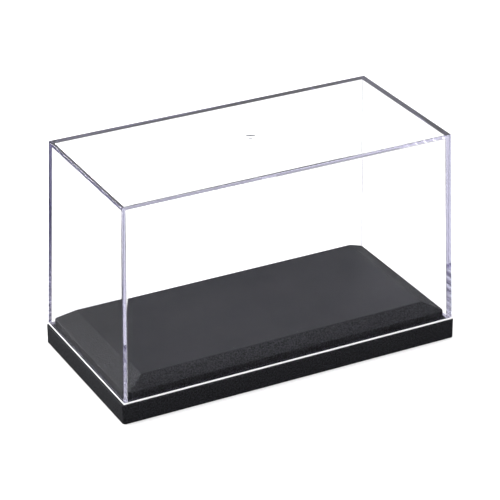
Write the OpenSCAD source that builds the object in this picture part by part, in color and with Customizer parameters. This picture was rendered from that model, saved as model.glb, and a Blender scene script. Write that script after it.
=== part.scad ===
// Display case for one small scale model: a clear lift-off cover that stands on the ledge of a moulded base.
// Origin: centre of the face that the base stands on. X runs along the case, Y across it, Z up. Millimetres.

/* [Case] */
// Length of the base, along X
case_l = 105; // [80:0.5:160]
// Width of the base, along Y
case_w = 52.5; // [44:0.5:80]
// Height of the whole case, from the table to the top of the cover
case_h = 63.6; // [40:0.2:90]

/* [Base] */
// Height of the skirt, which is also the height of the ledge that carries the cover
skirt_h = 5.8; // [4:0.2:8]
// Width of the ledge, from the base's edge to the plinth
ledge_w = 2.4; // [2.2:0.1:4]
// Height of the plinth's upright wall above the ledge
plinth_wall_h = 2.6; // [1:0.2:4]
// Rise of the sloping border, from the plinth's wall up to the deck
border_h = 2.8; // [1:0.2:4]
// Width of the sloping border at the two short ends
border_end = 5.7; // [2:0.1:8]
// Width of the sloping border along the two long sides
border_side = 3.4; // [2:0.1:6]
// Thickness of the base's walls, ledge and deck
base_t = 1.4; // [1:0.1:2]
// Thickness of the stiffening ribs under the deck
rib_t = 1; // [0.8:0.1:1.6]
// Number of ribs across the underside
rib_count = 2; // [1:1:4]

/* [Cover] */
// Thickness of the cover's walls and top
cover_t = 1.3; // [0.8:0.1:1.5]
// Distance from the base's edge in to the cover's outer face, at the ledge
cover_inset = 0.5; // [0:0.1:0.6]
// Lean of the cover's walls, in degrees, which lets the moulding leave its mould
cover_draft = 1.8; // [0.5:0.1:2.5]
// Radius of the cover's outer edges and corners
cover_edge_r = 0.3; // [0.2:0.1:1]
// Radius of the fillets inside the cover
cover_fillet_r = 0.4; // [0.3:0.1:1.5]
// Diameter of the gate mark's shallow dimple, in the middle of the top
gate_d = 4.2; // [3:0.2:6]

/* [Hidden] */

base_corner_r = 0.9;   // skirt's upright corners
plinth_corner_r = 1.3; // plinth's upright corners
deck_corner_r = 0.3;   // deck's corners, where the borders meet
cavity_corner_r = 0.6; // corners of the hollow underside
slope_share = 0.6;     // the hollow's slope is this share of the wall's thickness below and inside the border
sheet = 0.01;          // thickness of the outlines that hull() joins
through = 1;           // how far a cutter runs past the face that it opens
rib_lift = 1.2;        // gap between the ribs and the table
gate_depth = 0.3;      // depth of the gate mark's dimple
gate_stub_d = 1.1;     // sheared stub of the gate, below the cover's top face
gate_stub_h = 0.2;
hull_fn = 32;
arc_fn = 48;

plinth_l = case_l - 2 * ledge_w;
plinth_w = case_w - 2 * ledge_w;
plinth_top = skirt_h + plinth_wall_h;
deck_l = plinth_l - 2 * border_end;
deck_w = plinth_w - 2 * border_side;
deck_z = plinth_top + border_h;
slope_gap = slope_share * base_t;
cover_l = case_l - 2 * cover_inset;
cover_w = case_w - 2 * cover_inset;
cover_lean = tan(cover_draft);

// Rectangle with true round corners, centred on the origin
module round_rect(l, w, r) {
    square([l - 2 * r, w], center = true);
    square([l, w - 2 * r], center = true);
    for (x = [-1, 1], y = [-1, 1])
        translate([x * (l / 2 - r), y * (w / 2 - r)]) circle(r = r, $fn = arc_fn);
}

// The same outline as a thin sheet at height z
module round_sheet(l, w, r, z) {
    translate([0, 0, z]) linear_extrude(sheet)
        for (x = [-1, 1], y = [-1, 1])
            translate([x * (l / 2 - r), y * (w / 2 - r)]) circle(r = r, $fn = hull_fn);
}

// Upright block with round corners, from z up by h
module round_block(l, w, r, z, h) {
    translate([0, 0, z]) linear_extrude(h) round_rect(l, w, r);
}

// Sloping border: joins the outline at the plinth's wall with the smaller one at the deck
module border(l0, w0, r0, z0, l1, w1, r1, z1) {
    hull() {
        round_sheet(l0, w0, r0, z0 - sheet);
        round_sheet(l1, w1, r1, z1 - sheet);
    }
}

// Hollow under the ledge and the deck, one wall thickness inside the outer shape
module base_hollow() {
    round_block(case_l - 2 * base_t, case_w - 2 * base_t, cavity_corner_r,
        -through, skirt_h - base_t + through);
    slope_z = plinth_top - slope_gap;
    round_block(plinth_l - 2 * base_t, plinth_w - 2 * base_t, cavity_corner_r,
        skirt_h - base_t - through, slope_z - skirt_h + base_t + through);
    border(plinth_l - 2 * base_t, plinth_w - 2 * base_t, cavity_corner_r, slope_z,
        deck_l - slope_gap, deck_w - slope_gap, cavity_corner_r, deck_z - base_t);
}

// Ribs across the underside: each fills the hollow's section, short of the table
module ribs() {
    pitch = case_l / (rib_count + 1);
    intersection() {
        for (i = [1 : rib_count])
            translate([i * pitch - case_l / 2 - rib_t / 2, -case_w / 2, rib_lift])
                cube([rib_t, case_w, deck_z]);
        base_hollow();
    }
}

// Moulded base: skirt, ledge, plinth with its sloping border, and the deck that the model stands on
module base() {
    color([0.05, 0.05, 0.055]) {
        difference() {
            union() {
                round_block(case_l, case_w, base_corner_r, 0, skirt_h);
                round_block(plinth_l, plinth_w, plinth_corner_r, skirt_h - base_t, plinth_wall_h + base_t);
                border(plinth_l, plinth_w, plinth_corner_r, plinth_top,
                    deck_l, deck_w, deck_corner_r, deck_z);
            }
            base_hollow();
        }
        ribs();
    }
}

// Ball that reaches exactly r above and below its centre
module corner_ball(r) {
    rotate_extrude($fn = hull_fn) intersection() {
        circle(r = r, $fn = hull_fn);
        translate([0, -r]) square([r, 2 * r]);
    }
}

// Tapered block with round edges: its outline is l by w at height z0, and its walls lean inwards up to z1
module leaning_block(l, w, r, z0, z1) {
    top_l = l - 2 * (z1 - z0) * cover_lean;
    top_w = w - 2 * (z1 - z0) * cover_lean;
    hull() for (x = [-1, 1], y = [-1, 1]) {
        translate([x * (l / 2 - r), y * (w / 2 - r), z0]) cylinder(r = r, h = sheet, $fn = hull_fn);
        translate([x * (top_l / 2 - r), y * (top_w / 2 - r), z1 - r]) corner_ball(r);
    }
}

// Mark left by the mould's gate: a shallow round dimple with the sheared stub inside it
module gate_mark() {
    bowl_r = (gate_d * gate_d / 4 + gate_depth * gate_depth) / (2 * gate_depth);
    difference() {
        translate([0, 0, case_h - gate_depth + bowl_r]) sphere(r = bowl_r, $fn = arc_fn);
        translate([0, 0, case_h - gate_depth - through])
            cylinder(d = gate_stub_d, h = gate_stub_h + through, $fn = arc_fn);
    }
}

// Clear cover: one thin leaning shell, open at the bottom
module cover() {
    color([0.9, 0.9, 0.95, 0.3]) difference() {
        leaning_block(cover_l, cover_w, cover_edge_r, skirt_h, case_h);
        translate([0, 0, -through])
            leaning_block(cover_l - 2 * cover_t + 2 * through * cover_lean,
                cover_w - 2 * cover_t + 2 * through * cover_lean,
                cover_fillet_r, skirt_h, case_h - cover_t + through);
        gate_mark();
    }
}

base();
cover();
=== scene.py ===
import math

import bmesh
import bpy
from mathutils import Matrix, Vector


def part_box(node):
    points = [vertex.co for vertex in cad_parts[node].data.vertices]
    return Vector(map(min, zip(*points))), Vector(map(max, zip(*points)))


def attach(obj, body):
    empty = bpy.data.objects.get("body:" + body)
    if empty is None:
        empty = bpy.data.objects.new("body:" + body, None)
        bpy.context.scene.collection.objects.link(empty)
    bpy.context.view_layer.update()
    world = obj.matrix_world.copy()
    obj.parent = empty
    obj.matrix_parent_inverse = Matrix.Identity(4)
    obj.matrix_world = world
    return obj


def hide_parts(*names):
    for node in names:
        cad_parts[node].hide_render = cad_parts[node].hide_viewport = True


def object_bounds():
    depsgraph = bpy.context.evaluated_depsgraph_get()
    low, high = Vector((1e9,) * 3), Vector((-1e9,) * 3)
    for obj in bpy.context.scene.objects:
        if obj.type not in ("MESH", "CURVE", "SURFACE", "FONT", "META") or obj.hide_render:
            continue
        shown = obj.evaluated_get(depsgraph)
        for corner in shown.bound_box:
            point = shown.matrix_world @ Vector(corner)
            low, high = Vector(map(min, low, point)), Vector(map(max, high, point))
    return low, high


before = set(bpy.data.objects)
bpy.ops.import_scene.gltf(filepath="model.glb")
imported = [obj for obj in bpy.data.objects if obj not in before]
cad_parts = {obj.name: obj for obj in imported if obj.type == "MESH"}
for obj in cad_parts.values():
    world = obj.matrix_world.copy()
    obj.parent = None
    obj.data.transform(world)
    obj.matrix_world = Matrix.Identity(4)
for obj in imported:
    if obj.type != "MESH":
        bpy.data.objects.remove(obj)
cad_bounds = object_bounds()

MM = 0.001

# The two mouldings. The outer sizes come from the frame, and these are the rest of the design, in metres.
LEDGE_W = 2.4 * MM          # from the skirt's face in to the plinth's wall
PLINTH_WALL_H = 2.6 * MM    # upright wall above the ledge
BORDER_END = 5.7 * MM       # width of the sloping border at the short ends
BORDER_SIDE = 3.4 * MM      # and along the long sides
BASE_WALL = 1.4 * MM
SLOPE_GAP = 0.84 * MM       # the hollow's slope lies this far below and inside the border
SKIRT_CORNER_R = 0.9 * MM
PLINTH_CORNER_R = 1.3 * MM
DECK_CORNER_R = 0.35 * MM
HOLLOW_CORNER_R = 0.6 * MM
RIB_WALL = 1.0 * MM
RIB_LIFT = 1.2 * MM         # from the table up to the ribs
RIB_COUNT = 2
MOULD_EDGE_R = 0.22 * MM    # small round on every edge of the base
FOOT_EDGE_R = 0.6 * MOULD_EDGE_R
DECK_ROUND = 2.2 * MOULD_EDGE_R  # length of the round between the deck and the sloping border
BORDER_ROUND_FROM = 58      # degrees; the round between the border and the plinth's wall starts here
BORDER_ROUND_DROP = 0.85    # its centre lies this share of its radius below the wall's edge

COVER_WALL = 1.3 * MM
COVER_LEAN = math.tan(math.radians(1.8))
COVER_CORNER_R = 0.15 * MM  # upright outside corners
COVER_EDGE_R = 0.1 * MM     # outside edges of the top
COVER_FILLET_R = 0.35 * MM  # every inside corner
COVER_FOOT_R = 0.1 * MM     # round on the edges of the cover's lower end
RIM_H = 0.62 * MM           # slightly rough strip round the outside of the lower end, painted white as a highlight
COVER_GAP = 0.03 * MM       # air left between the cover's end and the ledge
GATE_R = 2.1 * MM
GATE_DEPTH = 0.16 * MM
GATE_STUB_R = 0.5 * MM
GATE_STUB_H = 0.1 * MM
GATE_BOWL_FROM = 1.5 * GATE_STUB_R  # the bowl of the gate mark starts this far out
GATE_RIM_R = 1.06 * GATE_R          # and it meets the flat top here
MIN_CORNER_R = 0.02 * MM

ARC = 8                     # steps along a quarter circle
ROUND = 6                   # steps round a moulded edge
FINE_ROUND = 3              # steps round a smaller one

BASE_CREASE = 32            # degrees; sharper edges stay creased
COVER_CREASE = 50

FLOOR_HALF = 6
FRONT_LIGHT = 0.95          # the world's strength in front, behind and below the horizon
BACK_LIGHT = 0.9
UNDER_LIGHT = 0.08
CAMERA_AZIMUTH = math.radians(-27.76)
CAMERA_ELEVATION = math.radians(27.16)
CAMERA_AIM_Z = 0.25         # in lengths of the case
CAMERA_AWAY = 6.168         # likewise
LIGHT_BOUNCES = 256
SEE_THROUGH_BOUNCES = 32


def corner_ring(half_x, half_y, radius, z):
    """A level rectangle with round corners, anticlockwise from the corner at +X +Y."""
    points = []
    for quarter in range(4):
        side_x = 1 if quarter in (0, 3) else -1
        side_y = 1 if quarter in (0, 1) else -1
        for step in range(ARC + 1):
            turn = math.pi / 2 * (quarter + step / ARC)
            points.append((side_x * (half_x - radius) + radius * math.cos(turn),
                           side_y * (half_y - radius) + radius * math.sin(turn), z))
    return points


def circle_ring(radius, z):
    """A level circle with as many points as corner_ring gives, spread evenly."""
    count = 4 * (ARC + 1)
    turns = [2 * math.pi * (i + 0.5) / count for i in range(count)]
    return [(radius * math.cos(t), radius * math.sin(t), z) for t in turns]


def arc_steps(start, end, steps=ROUND):
    """Angles from start to end, in degrees, both included, as radians."""
    return [math.radians(start + (end - start) * i / steps) for i in range(steps + 1)]


def new_piece(name, made):
    """An object in the scene from a bmesh, which is freed."""
    mesh = bpy.data.meshes.new(name)
    made.to_mesh(mesh)
    made.free()
    piece = bpy.data.objects.new(name, mesh)
    bpy.context.scene.collection.objects.link(piece)
    return piece


def loft(name, rings):
    """One smooth skin through rings that have the same number of points, capped at both ends."""
    made = bmesh.new()
    rows = [[made.verts.new(p) for p in ring] for ring in rings]
    for lower, upper in zip(rows, rows[1:]):
        for i, corner in enumerate(lower):
            j = (i + 1) % len(lower)
            made.faces.new((corner, lower[j], upper[j], upper[i]))
    made.faces.new(rows[0][::-1])
    made.faces.new(rows[-1])
    bmesh.ops.recalc_face_normals(made, faces=made.faces)
    return new_piece(name, made)


def shade(piece, sharp_above):
    """Smooth shading whose normals follow the large flat faces, with creases above an angle in degrees."""
    mesh = piece.data
    mesh.shade_smooth()
    mesh.set_sharp_from_angle(angle=math.radians(sharp_above))
    weighted = piece.modifiers.new("flat_faces_stay_flat", "WEIGHTED_NORMAL")
    weighted.weight = 100
    weighted.keep_sharp = True


def box_mesh(name, low, high):
    """A plain box, used only to be joined into a moulding."""
    made = bmesh.new()
    bmesh.ops.create_cube(made, size=1)
    for v in made.verts:
        v.co = Vector([(a + b) / 2 + c * (b - a) for a, b, c in zip(low, high, v.co)])
    return new_piece(name, made)


def join_solid(piece, extra):
    """Joins another solid into a piece as one skin, and removes it."""
    union = piece.modifiers.new("join", "BOOLEAN")
    union.operation = "UNION"
    union.solver = "EXACT"
    union.object = extra
    graph = bpy.context.evaluated_depsgraph_get()
    mesh = bpy.data.meshes.new_from_object(piece.evaluated_get(graph))
    piece.modifiers.remove(union)
    old, piece.data = piece.data, mesh
    mesh.name = piece.name
    bpy.data.meshes.remove(old)
    bpy.data.objects.remove(extra)


# ---------------------------------------------------------------- base

def base_rings(low, high, ledge_z):
    """The base's outline from the deck's edge out, down to the table, and up inside the hollow."""
    half_x, half_y = high.x, high.y
    plinth_x, plinth_y = half_x - LEDGE_W, half_y - LEDGE_W
    deck_x, deck_y = plinth_x - BORDER_END, plinth_y - BORDER_SIDE
    deck_z, wall_z = high.z, ledge_z + PLINTH_WALL_H
    slope_x = math.atan2(deck_z - wall_z, BORDER_END)
    slope_y = math.atan2(deck_z - wall_z, BORDER_SIDE)
    r = MOULD_EDGE_R
    rings = []

    # round between the deck and the sloping border
    for share in (0, 0.25, 0.5, 0.75, 1):
        out_x = DECK_ROUND * (share - 0.5) * (math.cos(slope_x) if share > 0.5 else 1)
        out_y = DECK_ROUND * (share - 0.5) * (math.cos(slope_y) if share > 0.5 else 1)
        drop = DECK_ROUND * math.sin(slope_x) * 0.5 * share * share
        rings.append(corner_ring(deck_x + out_x, deck_y + out_y, DECK_CORNER_R, deck_z - drop))

    # round between the border and the plinth's wall
    for turn in arc_steps(BORDER_ROUND_FROM, 0):
        inset = r * (1 - math.cos(turn))
        rings.append(corner_ring(plinth_x - inset, plinth_y - inset, PLINTH_CORNER_R,
                                 wall_z - r * (BORDER_ROUND_DROP - math.sin(turn))))

    # fillet at the foot of the plinth's wall
    for turn in arc_steps(0, 90, FINE_ROUND):
        out = r * (1 - math.cos(turn))
        rings.append(corner_ring(plinth_x + out, plinth_y + out, PLINTH_CORNER_R + out,
                                 ledge_z + r * (1 - math.sin(turn))))

    # round between the ledge and the skirt
    for turn in arc_steps(90, 0):
        inset = r * (1 - math.cos(turn))
        rings.append(corner_ring(half_x - inset, half_y - inset, SKIRT_CORNER_R - inset,
                                 ledge_z - r * (1 - math.sin(turn))))

    # foot of the skirt, with a finer round
    for turn in arc_steps(0, -90, FINE_ROUND):
        inset = FOOT_EDGE_R * (1 - math.cos(turn))
        rings.append(corner_ring(half_x - inset, half_y - inset, SKIRT_CORNER_R - inset,
                                 low.z + FOOT_EDGE_R * (1 + math.sin(turn))))

    # the hollow: up the skirt's inner face, in under the ledge, up the plinth, along the slope to the ceiling
    in_x, in_y = half_x - BASE_WALL, half_y - BASE_WALL
    rings.append(corner_ring(in_x, in_y, HOLLOW_CORNER_R, low.z))
    under_ledge = ledge_z - BASE_WALL
    rings.append(corner_ring(in_x, in_y, HOLLOW_CORNER_R, under_ledge))
    in_x, in_y = plinth_x - BASE_WALL, plinth_y - BASE_WALL
    rings.append(corner_ring(in_x, in_y, HOLLOW_CORNER_R, under_ledge))
    rings.append(corner_ring(in_x, in_y, HOLLOW_CORNER_R, wall_z - SLOPE_GAP))
    in_x, in_y = deck_x - SLOPE_GAP / 2, deck_y - SLOPE_GAP / 2
    rings.append(corner_ring(in_x, in_y, HOLLOW_CORNER_R, deck_z - BASE_WALL))
    return rings


def make_base():
    low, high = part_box("base")
    ledge_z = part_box("cover")[0].z
    base = loft("moulded_base", base_rings(low, high, ledge_z))
    bite = BASE_WALL / 2    # how far a rib runs into the walls that it joins
    # a rib is three boxes that step up with the hollow; each has its inset from the skirt's face and its top
    steps = ((bite, ledge_z - BASE_WALL + bite),
             (LEDGE_W + bite, ledge_z + PLINTH_WALL_H - SLOPE_GAP),
             (LEDGE_W + BORDER_SIDE, high.z - bite))
    for i in range(RIB_COUNT):
        x = (high.x - low.x) * ((i + 1) / (RIB_COUNT + 1) - 0.5)
        for inset, top in steps:
            join_solid(base, box_mesh("rib", (x - RIB_WALL / 2, low.y + inset, RIB_LIFT),
                                      (x + RIB_WALL / 2, high.y - inset, top)))
    shade(base, BASE_CREASE)
    return base


# ---------------------------------------------------------------- cover

def cover_half(corner, z, z_foot):
    """Half the cover's length and width at a height, on its leaning outer face."""
    inset = (z - z_foot) * COVER_LEAN
    return corner.x - inset, corner.y - inset


def cover_rings(low, high):
    """The cover's outline from the gate mark out over the top, down the outside, and up the inside."""
    z_foot, z_top = low.z, high.z
    r, corner_r = COVER_EDGE_R, COVER_CORNER_R
    stub_z = z_top - GATE_DEPTH + GATE_STUB_H
    rings = [circle_ring(GATE_STUB_R / 2, stub_z), circle_ring(GATE_STUB_R, stub_z)]
    bowl_r = (GATE_R ** 2 + GATE_DEPTH ** 2) / (2 * GATE_DEPTH)
    for i in range(2 * ROUND + 1):
        out = GATE_BOWL_FROM + (GATE_R - GATE_BOWL_FROM) * i / (2 * ROUND)
        rings.append(circle_ring(out, z_top - GATE_DEPTH + bowl_r - math.sqrt(bowl_r ** 2 - out ** 2)))
    rings.append(circle_ring(GATE_RIM_R, z_top))

    top_x, top_y = cover_half(high, z_top - r, z_foot)
    for turn in arc_steps(90, 0, ARC):
        inset = r * (1 - math.cos(turn))
        rings.append(corner_ring(top_x - inset, top_y - inset, corner_r - inset,
                                 z_top - r * (1 - math.sin(turn))))

    foot, z_end = COVER_FOOT_R, z_foot + COVER_GAP
    rim_x, rim_y = cover_half(high, z_foot + RIM_H, z_foot)
    rings.append(corner_ring(rim_x, rim_y, corner_r, z_foot + RIM_H))
    for turn in arc_steps(0, -90, FINE_ROUND):
        inset = foot * (1 - math.cos(turn))
        rings.append(corner_ring(high.x - inset, high.y - inset, corner_r - inset,
                                 z_end + foot * (1 + math.sin(turn))))
    in_x, in_y = high.x - COVER_WALL, high.y - COVER_WALL
    for turn in arc_steps(-90, 0, FINE_ROUND):
        inset = foot * (1 - math.cos(turn))
        rings.append(corner_ring(in_x + inset, in_y + inset, COVER_FILLET_R + inset,
                                 z_end + foot * (1 + math.sin(turn))))

    fillet, z_ceiling = COVER_FILLET_R, z_top - COVER_WALL
    top_x, top_y = cover_half(high, z_ceiling - fillet, z_foot)
    for turn in arc_steps(0, 90, ARC):
        inset = COVER_WALL + fillet * (1 - math.cos(turn))
        rings.append(corner_ring(top_x - inset, top_y - inset, max(fillet * math.cos(turn), MIN_CORNER_R),
                                 z_ceiling - fillet * (1 - math.sin(turn))))
    return rings


def make_cover():
    low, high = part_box("cover")
    cover = loft("clear_cover", cover_rings(low, high))
    shade(cover, COVER_CREASE)
    cover.data.materials.append(clear_material())
    cover.data.materials.append(rim_material())
    for face in cover.data.polygons:
        depth = min(high.x - abs(face.center.x), high.y - abs(face.center.y))
        # faces on the outside of the lower end take the rim material, whose white is a painted highlight
        on_outer_face = depth < COVER_WALL / 4
        if on_outer_face and face.center.z < low.z + RIM_H:
            face.material_index = 1
    return cover


# ---------------------------------------------------------------- materials

def new_material(name):
    material = bpy.data.materials.new(name)
    material.use_nodes = True
    material.node_tree.nodes.clear()
    return material, material.node_tree.nodes, material.node_tree.links


def clear_material():
    """Clear polystyrene with a trace of violet toner, which shows only where light runs far inside it."""
    material, nodes, links = new_material("clear_polystyrene")
    plastic = nodes.new("ShaderNodeBsdfPrincipled")
    plastic.inputs["Base Color"].default_value = (1, 1, 1, 1)
    plastic.inputs["Roughness"].default_value = 0.0
    plastic.inputs["IOR"].default_value = 1.59
    plastic.inputs["Transmission Weight"].default_value = 1.0
    plastic.inputs["Specular Tint"].default_value = (0.4, 0.4, 0.4, 1)
    through = nodes.new("ShaderNodeBsdfTransparent")
    through.inputs["Color"].default_value = (0.93, 0.93, 0.94, 1)
    path = nodes.new("ShaderNodeLightPath")
    mix = nodes.new("ShaderNodeMixShader")
    links.new(path.outputs["Is Shadow Ray"], mix.inputs[0])
    links.new(plastic.outputs[0], mix.inputs[1])
    links.new(through.outputs[0], mix.inputs[2])
    toner = nodes.new("ShaderNodeVolumeAbsorption")
    toner.inputs["Color"].default_value = (0.31, 0.29, 0.50, 1)
    toner.inputs["Density"].default_value = 20.0
    out = nodes.new("ShaderNodeOutputMaterial")
    links.new(mix.outputs[0], out.inputs["Surface"])
    links.new(toner.outputs[0], out.inputs["Volume"])
    return material


def noise(nodes, links, scale, detail):
    """A noise texture fixed to the piece, with its scale in features per metre."""
    place = nodes.new("ShaderNodeTexCoord")
    texture = nodes.new("ShaderNodeTexNoise")
    texture.inputs["Scale"].default_value = scale
    texture.inputs["Detail"].default_value = detail
    links.new(place.outputs["Object"], texture.inputs["Vector"])
    return texture.outputs["Fac"]


def spread(nodes, links, source, low_in, high_in, low_out, high_out, curve="LINEAR"):
    """A value moved from one range to another."""
    ranged = nodes.new("ShaderNodeMapRange")
    ranged.interpolation_type = curve
    for name, value in (("From Min", low_in), ("From Max", high_in),
                        ("To Min", low_out), ("To Max", high_out)):
        ranged.inputs[name].default_value = value
    links.new(source, ranged.inputs["Value"])
    return ranged.outputs["Result"]


def mix_colour(nodes, links, factor, first, second):
    """A blend of two colours, each a fixed colour or the output of a node."""
    mix = nodes.new("ShaderNodeMix")
    mix.data_type = "RGBA"
    links.new(factor, mix.inputs["Factor"])
    for name, colour in (("A", first), ("B", second)):
        if isinstance(colour, tuple):
            mix.inputs[name].default_value = colour
        else:
            links.new(colour, mix.inputs[name])
    return mix.outputs["Result"]


def rim_material():
    """The cover's lower end: slightly rough; white outside as a painted highlight for the line of light along
    the foot, and greyer where the wall shows it from inside, as painted shade that keeps the strip from
    lighting the wall.
    """
    material, nodes, links = new_material("rough_rim_painted_light")
    plastic = nodes.new("ShaderNodeBsdfPrincipled")
    from_inside = nodes.new("ShaderNodeNewGeometry").outputs["Backfacing"]
    # painted light: the white outside is a painted highlight, the grey seen from inside the wall is painted
    # shade
    tone = mix_colour(nodes, links, from_inside, (0.92, 0.92, 0.93, 1), (0.60, 0.58, 0.68, 1))
    links.new(tone, plastic.inputs["Base Color"])
    rough = spread(nodes, links, noise(nodes, links, 900, 2), 0.3, 0.7, 0.45, 0.7)
    links.new(rough, plastic.inputs["Roughness"])
    bump = nodes.new("ShaderNodeBump")
    bump.inputs["Strength"].default_value = 0.3
    bump.inputs["Distance"].default_value = 0.02 * MM
    links.new(noise(nodes, links, 5000, 2), bump.inputs["Height"])
    links.new(bump.outputs[0], plastic.inputs["Normal"])
    out = nodes.new("ShaderNodeOutputMaterial")
    links.new(plastic.outputs[0], out.inputs["Surface"])
    return material


def black_material(deck_z):
    """Black polystyrene: a spark-eroded grain on the border and skirt, and a smoother, uneven deck whose flat
    tone is set a little darker, partly as painted shade for the shadow of the car it holds.
    """
    material, nodes, links = new_material("black_polystyrene")
    place = nodes.new("ShaderNodeTexCoord")
    split = nodes.new("ShaderNodeSeparateXYZ")
    links.new(place.outputs["Object"], split.inputs[0])
    off_deck = spread(nodes, links, split.outputs["Z"], deck_z - 0.2 * MM, deck_z - 0.05 * MM, 1.0, 0.15)
    grain = noise(nodes, links, 2400, 3)
    bump = nodes.new("ShaderNodeBump")
    bump.inputs["Distance"].default_value = 0.3 * MM
    links.new(off_deck, bump.inputs["Strength"])
    links.new(grain, bump.inputs["Height"])
    plastic = nodes.new("ShaderNodeBsdfPrincipled")
    shades = nodes.new("ShaderNodeValToRGB")
    dark, light = shades.color_ramp.elements
    dark.position, dark.color = 0.40, (0.0025, 0.0026, 0.0034, 1)
    light.position, light.color = 0.64, (0.0215, 0.0217, 0.0262, 1)
    links.new(grain, shades.inputs[0])
    # the deck's flat colour: its own black, set a little darker as painted shade for the car's shadow
    tone = mix_colour(nodes, links, off_deck, (0.0094, 0.0096, 0.0122, 1), shades.outputs[0])
    links.new(tone, plastic.inputs["Base Color"])
    rough = spread(nodes, links, noise(nodes, links, 45, 2), 0.3, 0.7, 0.5, 0.62)
    links.new(rough, plastic.inputs["Roughness"])
    plastic.inputs["Specular IOR Level"].default_value = 0.12
    links.new(bump.outputs[0], plastic.inputs["Normal"])
    out = nodes.new("ShaderNodeOutputMaterial")
    links.new(plastic.outputs[0], out.inputs["Surface"])
    return material


def floor_material():
    """White paint, dimmed where the cover mirrors it, so that the panes carry no reflection of it."""
    material, nodes, links = new_material("pale_floor")
    mirrors = nodes.new("ShaderNodeLightPath").outputs["Glossy Depth"]
    shown = (0.9, 0.9, 0.9, 1)
    for more_than, colour in ((0.5, (0.06, 0.06, 0.06, 1)), (2.5, (0.7, 0.7, 0.7, 1))):
        passed = nodes.new("ShaderNodeMath")
        passed.operation = "GREATER_THAN"
        passed.inputs[1].default_value = more_than
        links.new(mirrors, passed.inputs[0])
        shown = mix_colour(nodes, links, passed.outputs[0], shown, colour)
    paint = nodes.new("ShaderNodeBsdfDiffuse")
    links.new(shown, paint.inputs["Color"])
    out = nodes.new("ShaderNodeOutputMaterial")
    links.new(paint.outputs[0], out.inputs["Surface"])
    return material


# ---------------------------------------------------------------- studio

def make_floor():
    made = bmesh.new()
    bmesh.ops.create_grid(made, x_segments=1, y_segments=1, size=FLOOR_HALF)
    floor = new_piece("floor", made)
    floor.data.materials.append(floor_material())
    floor.visible_glossy = False


def make_camera():
    length = cad_bounds[1].x - cad_bounds[0].x
    back = Vector((math.sin(CAMERA_AZIMUTH) * math.cos(CAMERA_ELEVATION),
                   -math.cos(CAMERA_AZIMUTH) * math.cos(CAMERA_ELEVATION),
                   math.sin(CAMERA_ELEVATION)))
    target = Vector((0, 0, CAMERA_AIM_Z * length))
    data = bpy.data.cameras.new("camera")
    data.lens = 164.6
    data.sensor_width = 36
    data.shift_x = -0.001
    data.shift_y = 0.0162
    camera = bpy.data.objects.new("camera", data)
    bpy.context.scene.collection.objects.link(camera)
    turn = (-back).to_track_quat("-Z", "Y").to_matrix().to_4x4()
    camera.matrix_world = Matrix.Translation(target + back * CAMERA_AWAY * length) @ turn
    bpy.context.scene.camera = camera


def make_softbox(name, place, side, watts):
    """A square lamp that faces the case."""
    data = bpy.data.lights.new(name, "AREA")
    data.shape = "RECTANGLE"
    data.size = data.size_y = side
    data.energy = watts
    lamp = bpy.data.objects.new(name, data)
    bpy.context.scene.collection.objects.link(lamp)
    lamp.location = place
    lamp.rotation_mode = "QUATERNION"
    lamp.rotation_quaternion = (Vector((0, 0, 0)) - Vector(place)).to_track_quat("-Z", "Y")


def make_world():
    """A white room that is slightly dimmer behind the case and dark below the horizon."""
    world = bpy.data.worlds.new("studio")
    bpy.context.scene.world = world
    world.use_nodes = True
    nodes, links = world.node_tree.nodes, world.node_tree.links
    nodes["Background"].inputs["Color"].default_value = (1, 1, 1, 1)
    place = nodes.new("ShaderNodeTexCoord")
    split = nodes.new("ShaderNodeSeparateXYZ")
    links.new(place.outputs["Generated"], split.inputs[0])
    behind = spread(nodes, links, split.outputs["Y"], -0.6, 0.7, FRONT_LIGHT, BACK_LIGHT, "SMOOTHSTEP")
    above = spread(nodes, links, split.outputs["Z"], -0.1, 0.1, UNDER_LIGHT, 1.0, "SMOOTHSTEP")
    both = nodes.new("ShaderNodeMath")
    both.operation = "MULTIPLY"
    links.new(behind, both.inputs[0])
    links.new(above, both.inputs[1])
    links.new(both.outputs[0], nodes["Background"].inputs["Strength"])


def set_light_paths():
    """Light runs inside the cover's walls for many reflections, so it needs long paths."""
    scene = bpy.context.scene
    scene.view_settings.view_transform = "Standard"
    scene.cycles.max_bounces = LIGHT_BOUNCES
    scene.cycles.glossy_bounces = LIGHT_BOUNCES
    scene.cycles.transmission_bounces = LIGHT_BOUNCES
    scene.cycles.transparent_max_bounces = SEE_THROUGH_BOUNCES


base = make_base()
base.data.materials.append(black_material(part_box("base")[1].z))
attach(base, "base")
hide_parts("base")

cover = make_cover()
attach(cover, "cover")
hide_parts("cover")

make_floor()
make_world()
make_softbox("top_softbox", (0, 0.1, 0.9), 0.8, 9)
make_softbox("left_softbox", (-0.75, 0.85, 0.25), 0.5, 14)
make_camera()
set_light_paths()
